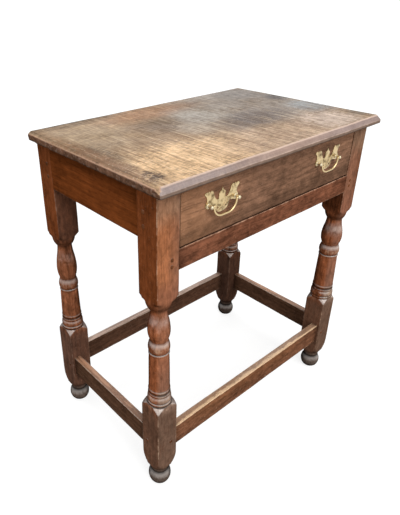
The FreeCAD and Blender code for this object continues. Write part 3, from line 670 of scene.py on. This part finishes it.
def top_edges(at, colour, figure):
    clouds, mottle, across = figure.clouds, figure.mottle, coordinate(at, "X")
    down = top_high.z - coordinate(at, "Z")
    front = soft_step(0 - facing(at, "Y"), 0.3, 0.6)
    under = front * soft_step(down, 0.01, 0.011)
    planed = grain_noise(stretched(at, (5, 300, 300)), 1.0, 4.0, 0.62, 0.4)
    slope = mixed(soft_step(across, -0.25, 0.0), MOULD_WITH_PAINTED_SKY[0], MOULD_WITH_PAINTED_SKY[1])
    slope = mixed(soft_step(across, 0.0, 0.2), slope, MOULD_WITH_PAINTED_SKY[2])
    colour = mixed(front * 0.9, colour, shaded(slope, 0.25 + 0.7 * clouds + 0.8 * planed))
    colour = mixed(under * 0.9, colour, shaded(rgb_value(at, LIP), 0.4 + 1.2 * mottle))
    rub = attribute(at, "rub")
    rub = soft_step(rub + (clouds - 0.5) * 0.6 + (mottle - 0.5) * 0.8, 0.35, 0.95) * soft_step(rub, 0.02, 0.25)
    sideways = facing(at, "X") ** 2
    worn = mixed(soft_step(sideways, 0.02, 0.2), RUBBED_FRONT, RUBBED_END)
    far = soft_step(coordinate(at, "Y") + (figure.drift - 0.5) * 0.1, 0.09, 0.16)
    colour = mixed(rub * 0.8, colour, mixed(far * 0.7, worn, RUBBED_BACK))
    end = soft_step(sideways, 0.5, 0.75) * soft_step(down + (mottle - 0.5) * 0.004, 0.0035, 0.0055)
    colour = mixed(end * 0.95, colour, shaded(rgb_value(at, SAWN), 3.2 * mottle - 0.6))
    # Pale spots on the sawn end: partly wear, partly painted glints.
    colour = mixed(end * soft_step(figure.spots, 0.54, 0.64) * 0.35, colour, SAWN_WEAR_AND_GLINT)
    # Darker where the mesh stores dirt and painted shade.
    return shaded(colour, 1 - attribute(at, "grime"))

# %% [markdown]
# Face and edges together, with wax that has gone dull in clouds, make the top's finish, and the board is done.

# %% Finish of the top
def top_finish():
    material, at = new_finish("top_oak")
    figure = Figure(at)
    colour = top_edges(at, top_face(at, figure), figure)
    roughness = 0.42 + 0.3 * (figure.clouds - 0.5) + 0.1 * figure.streak
    height = figure.growth * 0.5 - figure.pores * 0.5 - figure.streak * 0.4 + figure.mottle * 0.6
    coat = (0.04 + 0.22 * soft_step(figure.clouds, 0.35, 0.65)) * soft_step(facing(at, "Z"), 0.1, 0.6)
    finished(at, colour, roughness, height, TOP_BUMP, {"Coat Weight": coat, **WAX})
    return material


top_oak = top_finish()
add_piece("oak_top", top, top_oak, "table_frame", "top_oak", "table_top")
print("top nodes", len(top_oak.node_tree.nodes))

# %% [markdown]
# ## The legs
# A turner starts from a square post, leaves two blocks square for the joints, and turns what is between and the ball
# foot. Where the gouge leaves the square it makes the rounded shoulders. The same order works here: a template of
# heights and radii is spun all round, wide enough at the blocks to reach almost to their corners, and then everything
# outside the square is pressed flat onto it. The third number says how much rubbing a ring has had, and below nought
# how much darker a groove or an underside is painted: painted shade, with some dirt in the grooves.

# %% Template of the turning
LEG = 25.0    # half the square post, in millimetres like all of the template
STOCK = 34.7  # how far the spin reaches at the blocks: just short of the corners, which eases them
FOOT = [
    (0, 0, 0), (0, 14, 0.1), (0.6, 17, 0.2), (3.3, 19.6, 0), (7, 21.6, 0), (11, 23, 0.1), (15.1, 23.8, 0.3),
    (19.3, 24, 0), (23.5, 23.5, 0), (27.6, 22.5, -0.3), (31.4, 20.8, -0.5), (35, 18.5, -0.8), (38, 18.5, -0.8),
    (43.3, 19.1, 0), (48.4, 20.7, 0), (53, 23.4, 0), (57, 27, 0.3), (62.9, 29.6, 0.3), (69, 31.8, 0.3),
    (75.2, 33.5, 0.3), (81.6, 34.5, 0.3), (88, STOCK, 0.3),
]
BASE = [
    (219, STOCK, 0.5), (221.9, 34, 0.6), (224.7, 32.4, 0.7), (227.3, 30.6, 0.7), (229.7, 28.5, 0.6),
    (231.9, 26.3, 0.5), (232, 24.2, -0.8), (233.5, 24.2, -0.8), (235.5, 25.3, 0.8), (237.6, 25.2, 0.8),
    (239.5, 24, -0.8), (242.2, 24.7, 0.4), (245, 24.9, 0.9), (248, 24.7, 1.0), (250.8, 24.1, 0.7),
    (253.4, 23, 0.2), (255, 22.8, -0.8), (256.6, 23.4, 0.6), (258.2, 23.4, 0.7), (259.8, 22.6, -0.8),
    (264.5, 22.3, -0.8), (266.2, 23, 0.6), (268, 22.8, 0.7), (269.6, 22, -0.5),
]
COLUMN = [(271.5, 22, 0), (275, 22, 0), (294, 21.6, 0), (316, 21.1, 0), (338, 20.7, 0), (348, 20.4, 0), (352, 20.3, 0)]
COLLAR = [
    (353.4, 20.2, -0.6), (353.6, 20.8, 0.2), (354.9, 21.2, 0.5), (356.4, 21.2, 0.5), (357.8, 20.8, -0.4),
    (359, 19.9, -0.8), (361.5, 20.7, 0.2), (364.3, 21.6, 0.7), (367.5, 22.1, 1.0), (371, 22.1, 1.0),
    (374.3, 21.7, 1.0), (377.6, 20.9, 0.8), (380.9, 19.7, 0.2), (384, 18.5, -0.3), (386.6, 18.2, -0.8),
]
VASE = [
    (386.8, 18.9, -0.3), (388.6, 18.9, -0.2), (392.6, 20.5, 0), (397.3, 21.7, 0.1), (402.4, 22.4, 0.2),
    (407.4, 22.7, 0.3), (412, 22.5, 0.4), (418, 21.9, 0.3), (424.1, 21.1, 0.2), (430.1, 19.9, 0.1),
    (436, 18.4, 0), (440.7, 17.5, 0), (445.4, 16.8, 0), (450.2, 16.3, 0),
]
CUP = [
    (457.4, 16.2, -0.8), (457.6, 19.6, -0.2), (458.8, 20, -0.4), (462, 22, -0.5), (465.6, 23.4, -0.5),
    (469.3, 24.4, -0.4), (473, 24.8, -0.2), (478.5, 30.1, 0.3), (484, STOCK, 0.3), (687, STOCK, 0), (687, 0, 0),
]
print("template rows", sum(len(rows) for rows in (FOOT, BASE, COLUMN, COLLAR, VASE, CUP)))

# %% [markdown]
# The turner set the back legs' collar lower than the front ones'. So those rows move down, and the column below and
# the vase above take up the difference in proportion. No two legs were turned to quite the same girth either.

# %% Template of one leg
COLLAR_DROP = 17.0
FIRST_RING = 6   # the row of the base where the turning proper begins
GIRTH = {"leg_front_left": 0.955, "leg_front_right": 1.09, "leg_back_left": 0.99, "leg_back_right": 1.0}


def lowered(rows, drop, still, moved):
    """Rows moved down in proportion: by the whole drop at the height `moved`, and not at all at `still`."""
    return [(height - drop * ((height - still) / (moved - still)), radius, amount) for height, radius, amount in rows]


def leg_rows(drop, girth):
    neck = CUP[0][0]
    rows = FOOT + BASE + lowered(COLUMN, drop, BASE[-1][0], COLLAR[0][0])
    rows += [(height - drop, radius, amount) for height, radius, amount in COLLAR]
    rows += lowered(VASE, drop, neck, COLLAR[-1][0]) + CUP
    return [(height, radius * girth if BASE[FIRST_RING][0] <= height <= neck else radius, amount)
            for height, radius, amount in rows]

# %% [markdown]
# The template becomes a chain of vertices beside a spin axis through the leg. Ninety-six steps give a vertex exactly on
# each corner of the square.

# %% Legs
SPIN_STEPS, BLOCK_STEP = 96, 13 * MM
CORNER_REACH, FOOT_DARKENING_REACH = 4.0, 60.0   # millimetres


def turned_leg(name, rows, seed):
    mesh = bmesh.new()
    chain = [mesh.verts.new((radius * MM, 0, height * MM)) for height, radius, _ in rows]
    for lower, upper in zip(chain, chain[1:]):
        mesh.edges.new((lower, upper))
    bmesh.ops.spin(mesh, geom=everything(mesh), cent=(0, 0, 0), axis=(0, 0, 1), angle=math.tau, steps=SPIN_STEPS,
                   use_merge=True)
    bmesh.ops.remove_doubles(mesh, verts=mesh.verts, dist=NEAR)
    block_low, block_high, upper_low, upper_high = FOOT[-1][0], BASE[0][0], CUP[-3][0], CUP[-1][0]
    for low, high in ((block_low, block_high), (upper_low, upper_high)):
        cut_across(mesh, 2, even_places(low * MM, high * MM, BLOCK_STEP))
    rubbing = {round(height, 1): amount for height, _, amount in rows}
    rub, grime = wear_layers(mesh)
    half = LEG * MM
    for vert in mesh.verts:
        vert.co.x = max(-half, min(half, vert.co.x))
        vert.co.y = max(-half, min(half, vert.co.y))
        height = vert.co.z / MM
        square = block_low < height < block_high or height > upper_low
        from_corner = (half - min(abs(vert.co.x), abs(vert.co.y))) / MM
        amount = rubbing.get(round(height, 1), 0.0)
        vert[rub] = max(0.0, 0.75 - from_corner / CORNER_REACH) if square else max(0.0, amount) * 0.5
        # Darker near the floor, and in the grooves and undersides set below nought: painted shade, with some dirt in
        # the grooves.
        vert[grime] = 0.3 * max(0.0, 1 - height / FOOT_DARKENING_REACH) + max(0.0, -amount)
    low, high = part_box(name)
    middle = (low + high) / 2
    bmesh.ops.translate(mesh, vec=(middle.x, middle.y, 0), verts=mesh.verts)
    waver(mesh, amount=0.35 * MM, spread=22.0, seed=seed)
    return mesh


for seed, name in enumerate(GIRTH):
    leg = turned_leg(name, leg_rows(COLLAR_DROP if "back" in name else 0.0, GIRTH[name]), 5.0 * seed)
    print(name, "faces", len(leg.faces))
    add_piece("turned_" + name, leg, back_leg_oak if "back" in name else leg_oak, "table_frame", "frame_oak", name)

# %% [markdown]
# ## Rails and stretchers
# These are plain boards with eased arrises between the legs. Each is a box whose cross-section is read from the model
# and whose ends run two millimetres into the legs, where the tenons go. Rubbing is strongest at the long arrises, and
# the boards are darker towards their ends, by the legs.

# %% Boards between the legs
front_legs, back_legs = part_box("leg_front_left"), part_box("leg_back_left")
SPANS = {0: (front_legs[1].x, -front_legs[1].x), 1: (front_legs[1].y, back_legs[0].y)}
INTO_LEG, ARRIS, ARRIS_REACH, DARKER_END_REACH = 2 * MM, 1.3 * MM, 2.6 * MM, 18 * MM
TROD_DROP, TROD_BACK = 3.5 * MM, 10 * MM
STEP_ALONG, STEP_ACROSS, EDGE_BAND = 10 * MM, 9 * MM, 4 * MM


def rail_board(name, axis, seed, darker_ends, trod):
    """A board. It is darker towards its ends, by the legs, and where it is trod, feet have rubbed its top from the
    front arris backwards."""
    low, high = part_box(name)
    low[axis], high[axis] = SPANS[axis][0] - INTO_LEG, SPANS[axis][1] + INTO_LEG
    mesh = box_between(low, high)
    ease(mesh, mesh.edges[:], ARRIS, 2)
    cross = [other for other in range(3) if other != axis]
    cut_across(mesh, axis, even_places(low[axis], high[axis], STEP_ALONG))
    for other in cross:
        inner = [low[other] + EDGE_BAND, high[other] - EDGE_BAND]
        cut_across(mesh, other, inner + even_places(*inner, STEP_ACROSS))
    rub, grime = wear_layers(mesh)
    for vert in mesh.verts:
        gaps = [min(vert.co[other] - low[other], high[other] - vert.co[other]) for other in cross]
        vert[rub] = max(0.0, 1 - max(gaps) / ARRIS_REACH)
        if trod:
            drop, back = high.z - vert.co.z, vert.co.y - low.y
            middle = 1 - (vert.co.x / high.x) ** 2
            vert[rub] = max(vert[rub], 1.3 - drop / TROD_DROP - back / (TROD_BACK * (0.25 + middle)))
        from_end = min(vert.co[axis] - low[axis], high[axis] - vert.co[axis]) - INTO_LEG
        # Darker towards the ends, by the legs.
        vert[grime] = darker_ends * max(0.0, 1 - max(0.0, from_end) / DARKER_END_REACH)
    waver(mesh, amount=0.4 * MM, spread=18.0, seed=seed)
    return mesh


for name, axis, material in (("side_rail_left", 1, side_oak), ("side_rail_right", 1, side_oak),
                             ("back_rail", 0, rail_oak), ("drawer_rail", 0, rail_oak),
                             ("stretcher_front", 0, front_stretcher_oak), ("stretcher_back", 0, back_stretcher_oak),
                             ("stretcher_left", 1, side_stretcher_oak), ("stretcher_right", 1, side_stretcher_oak)):
    mesh = rail_board(name, axis, len(name), 0.15 if material == side_oak else 0.5, name == "stretcher_front")
    print(name, "faces", len(mesh.faces))
    add_piece("oak_" + name, mesh, material, "table_frame", "frame_oak", name)

# %% [markdown]
# ## Pegs
# Old pegs are split and shaved, not turned, and they creep out as the wood round them shrinks. The model's pegs are
# copied and grown outwards by half a millimetre, away from the middle of the table, and their ends are eased.

# %% Pegs
CREEP, TOP_CREEP = (1.0022, 1.003), 1.0002
PEG_END, PEG_ARRIS = math.radians(60), 0.4 * MM


def copy_of(name):
    mesh = bmesh.new()
    mesh.from_mesh(nodes[name].data)
    bmesh.ops.remove_doubles(mesh, verts=mesh.verts, dist=MERGED)
    bmesh.ops.dissolve_limit(mesh, angle_limit=math.radians(1), verts=mesh.verts, edges=mesh.edges)
    return mesh


for name in ("side_rail_pegs", "back_rail_pegs", "drawer_rail_pegs", "stretcher_pegs", "top_pegs"):
    pegs = copy_of(name)
    bmesh.ops.scale(pegs, vec=(*CREEP, TOP_CREEP if name == "top_pegs" else 1.0), verts=pegs.verts)
    ends = [edge for edge in pegs.edges if edge.calc_face_angle(0) > PEG_END]
    ease(pegs, ends, PEG_ARRIS, 2)
    print(name, "faces", len(pegs.faces))
    add_piece("riven_" + name, pegs, top_oak if name == "top_pegs" else peg_oak, "table_frame", "peg_oak", name)

# %% [markdown]
# ## Handles
# Each handle is a pierced plate, two posts with ball heads, and a bail that swings between them. The plate's outline
# is the model's own, copied. Its wings are combed outwards, its middle leaf is pinched and its bowl is let out by a few
# millimetres, and then its front edge is filed off to a bevel.

# %% Plates
HALF, RISE, HANDLE = 43 * MM, 27 * MM, 634 * MM   # half the plate's width, its height above the posts, and theirs
FILED = 0.6 * MM


def comb(vert, middle):
    out, up = abs(vert.co.x - middle) / HALF, (vert.co.z - HANDLE) / RISE
    side = math.copysign(HALF, vert.co.x - middle)
    wing = between(up, 0.1, 0.85) * between(out, 0.28, 0.36) * (1 - between(out, 0.5, 0.86))
    leaf = between(up, 0.2, 0.45) * (1 - between(out, 0.28, 0.34))
    notch = (1 - between(abs(out - 0.28), 0.0, 0.06)) * (1 - between(up, 0.1, 0.45))
    low = between(-up, 0.0, 0.2)
    lift = low * (1 - between(abs(out - 0.57), 0.08, 0.22))
    bowl = low * (1 - between(out, 0.26, 0.42))
    vert.co.x += side * (0.13 * wing - out * 0.26 * leaf - 0.05 * notch * (1 - low) + out * 0.35 * bowl)
    vert.co.z += RISE * (0.15 * notch * (1 - low) + 0.15 * lift - 0.12 * bowl)


for side in ("left", "right"):
    plate = copy_of("handle_plate_" + side)
    low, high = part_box("handle_plate_" + side)
    for vert in plate.verts:
        comb(vert, (low.x + high.x) / 2)
    front_y = min(vert.co.y for vert in plate.verts)
    rim = [edge for edge in plate.edges
           if edge.calc_face_angle(0) > CREASE and both_ends(edge, lambda at: at.y < front_y + NEAR)]
    ease(plate, rim, FILED, 2)
    print("plate", side, "faces", len(plate.faces))
    add_piece("cast_plate_" + side, plate, brass, "drawer", "brass", "handle_plate_" + side)

# %% [markdown]
# A post is turned: collar, neck and ball, spun round its own axis, which points straight out of the drawer.

# %% Posts
POST_COLLAR, POST_RUB = 4.4, 0.4
POST_TEMPLATE = [(0, 0), (0, POST_COLLAR), (0.9, POST_COLLAR), (1.5, 3.8), (1.7, 2.9), (2.6, 2.6), (4.8, 2.6),
                 (5.5, 2.9), (6.2, 3.3), (7.2, 3.55), (8.6, 3.65), (9.9, 3.4), (11.0, 2.7), (11.8, 1.7), (12.1, 0.8),
                 (12.2, 0)]


def post(mesh, place):
    chain = [mesh.verts.new(place + Vector((radius, -out, 0)) * MM) for out, radius in POST_TEMPLATE]
    edges = [mesh.edges.new(pair) for pair in zip(chain, chain[1:])]
    bmesh.ops.spin(mesh, geom=chain + edges, cent=place, axis=(0, 1, 0), angle=math.tau, steps=24, use_merge=True)


def rub_all(mesh, amount):
    rub = mesh.verts.layers.float.new("rub")
    for vert in mesh.verts:
        vert[rub] = amount


for side in ("left", "right"):
    low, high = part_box("handle_posts_" + side)
    plate_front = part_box("handle_plate_" + side)[0].y
    height = (low.z + high.z) / 2
    posts = bmesh.new()
    for x in (low.x + POST_COLLAR * MM, high.x - POST_COLLAR * MM):
        post(posts, Vector((x, plate_front, height)))
    rub_all(posts, POST_RUB)
    print("posts", side, "faces", len(posts.faces))
    add_piece("turned_posts_" + side, posts, post_brass, "drawer", "brass", "handle_posts_" + side)

# %% [markdown]
# The bail is one bar: down, round, across, round and up again. A circle is extruded and spun along that way, ring by
# ring, and at each end a knuckle and a pin hang it in its posts.

# %% Bails
BAR, DROP, BEND, ARM = 1.8 * MM, 21 * MM, 20 * MM, 28.2 * MM
KNUCKLE, PIN, PIN_LENGTH = BAR * 1.04, 1.3 * MM, 8 * MM
ACROSS = 4   # steps of the straight run


def verts_among(geometry):
    return [item for item in geometry if isinstance(item, bmesh.types.BMVert)]


def bail(pivot):
    mesh = bmesh.new()
    start = Matrix.Translation(pivot + Vector((-ARM, 0, 0)))
    ring = bmesh.ops.create_circle(mesh, segments=16, radius=BAR, matrix=start)["verts"]

    def ring_edges():
        return [edge for edge in mesh.edges if all(vert in ring for vert in edge.verts)]

    def onward(vector):
        nonlocal ring
        ring = verts_among(bmesh.ops.extrude_edge_only(mesh, edges=ring_edges())["geom"])
        bmesh.ops.translate(mesh, vec=vector, verts=ring)

    def bend(centre):
        nonlocal ring
        made = bmesh.ops.spin(mesh, geom=ring + ring_edges(), cent=centre, axis=(0, -1, 0), angle=math.pi / 2, steps=10)
        ring = verts_among(made["geom_last"])

    low = DROP - BEND
    onward(Vector((0, 0, -low)))
    bend(pivot + Vector((-ARM + BEND, 0, -low)))
    for _ in range(ACROSS):
        onward(Vector((2 * (ARM - BEND) / ACROSS, 0, 0)))
    bend(pivot + Vector((ARM - BEND, 0, -low)))
    onward(Vector((0, 0, low)))
    return mesh


for side in ("left", "right"):
    low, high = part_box("bail_" + side)
    pivot = Vector(((low.x + high.x) / 2, (low.y + high.y) / 2, high.z - BAR))
    bar = bail(pivot)
    for sign in (-1, 1):
        knuckle = Matrix.Translation(pivot + Vector((sign * ARM, 0, 0)))
        bmesh.ops.create_uvsphere(bar, u_segments=16, v_segments=10, radius=KNUCKLE, matrix=knuckle)
        pin = Matrix.Translation(pivot + Vector((sign * (ARM + PIN_LENGTH / 2), 0, 0)))
        bmesh.ops.create_cone(bar, cap_ends=True, segments=12, radius1=PIN, radius2=PIN, depth=PIN_LENGTH,
                              matrix=pin @ Matrix.Rotation(math.pi / 2, 4, "Y"))
    rub_all(bar, 1.0)
    print("bail", side, "faces", len(bar.faces))
    add_piece("cast_bail_" + side, bar, brass, "bail_" + side, "brass", "bail_" + side)

# %% [markdown]
# ## Pieces that stay as the model has them
# Boards inside the drawer, runners, nails and nuts are right as they are, with every groove and dovetail in place.
# They only need their finish.

# %% Finish for the model's own pieces
def dress(material, *names):
    for name in names:
        nodes[name].data.materials.clear()
        nodes[name].data.materials.append(material)


dress(drawer_oak, "drawer_front")
dress(lining_oak, "drawer_side_left", "drawer_side_right", "drawer_back", "drawer_bottom", "drawer_runner_left",
      "drawer_runner_right")
dress(nail_iron, "runner_nails", "drawer_nails")
dress(brass, "handle_nuts_left", "handle_nuts_right")
print("dressed", sum(1 for node in nodes.values() if not node.hide_render))

# %% [markdown]
# ## Floor and light
# The floor is a plain mid grey to the light that bounces off it. To the eye a glow is added, which makes it white right
# to the horizon and leaves the table's shadow showing.

# %% Floor
FLOOR_SIZE, FLOOR_DROP = 60.0, 0.5 * MM


def seen_directly(start):
    """1 for what the camera sees, straight or in a reflection, and 0 for bounced light."""
    path = [start.node("ShaderNodeLightPath", {}, {}, output)
            for output in ("Is Camera Ray", "Is Glossy Ray", "Is Transmission Ray")]
    return path[0] + path[1] + path[2]


ground = bmesh.new()
bmesh.ops.create_grid(ground, x_segments=1, y_segments=1, size=FLOOR_SIZE)
floor_mesh = bpy.data.meshes.new("floor")
ground.to_mesh(floor_mesh)
ground.free()
floor = bpy.data.objects.new("floor", floor_mesh)
floor.location.z = -FLOOR_DROP
bpy.context.scene.collection.objects.link(floor)
floor_white, start = new_finish("floor_white")
matt = start.node("ShaderNodeBsdfDiffuse", {}, {"Color": rgb(0.3, 0.3, 0.3)})
glow = start.node("ShaderNodeEmission", {}, {"Color": rgb(1, 1, 1), "Strength": 0.8})
both = start.node("ShaderNodeAddShader", {}, {0: matt, 1: glow})
surface = start.node("ShaderNodeMixShader", {}, {0: seen_directly(start), 1: matt, 2: both})
start.node("ShaderNodeOutputMaterial", {}, {"Surface": surface})
floor_mesh.materials.append(floor_white)
print("floor", floor.name)

# %% [markdown]
# Two wide soft lamps, one high in front and one overhead, and an even sky. A sun lamp with a very large angle lights
# the whole floor alike, and gives the soft shadow of an overcast day.

# %% Sky and lamps
world = bpy.data.worlds.new("studio")
bpy.context.scene.world = world
world.use_nodes = True
world.node_tree.nodes.clear()
sky = Socket(world.node_tree)
dim = sky.node("ShaderNodeBackground", {}, {"Color": rgb(1, 1, 1), "Strength": 0.36})
white = sky.node("ShaderNodeBackground", {}, {"Color": rgb(1, 1, 1), "Strength": 1.0})
backdrop = sky.node("ShaderNodeMixShader", {}, {0: seen_directly(sky), 1: dim, 2: white})
sky.node("ShaderNodeOutputWorld", {}, {"Surface": backdrop})


def soft_lamp(name, energy, spread, direction, tint):
    lamp = bpy.data.lights.new(name, "SUN")
    lamp.energy, lamp.angle, lamp.color = energy, math.radians(spread), tint
    holder = bpy.data.objects.new(name, lamp)
    holder.rotation_euler = Vector(direction).to_track_quat("-Z", "Y").to_euler()
    bpy.context.scene.collection.objects.link(holder)
    print(name, "energy", energy)


soft_lamp("key", energy=2.3, spread=50, direction=(0.05, 0.8, -0.75), tint=(1.0, 0.985, 0.96))
soft_lamp("overhead", energy=1.1, spread=40, direction=(0.1, -0.3, -1.0), tint=(0.97, 0.985, 1.0))
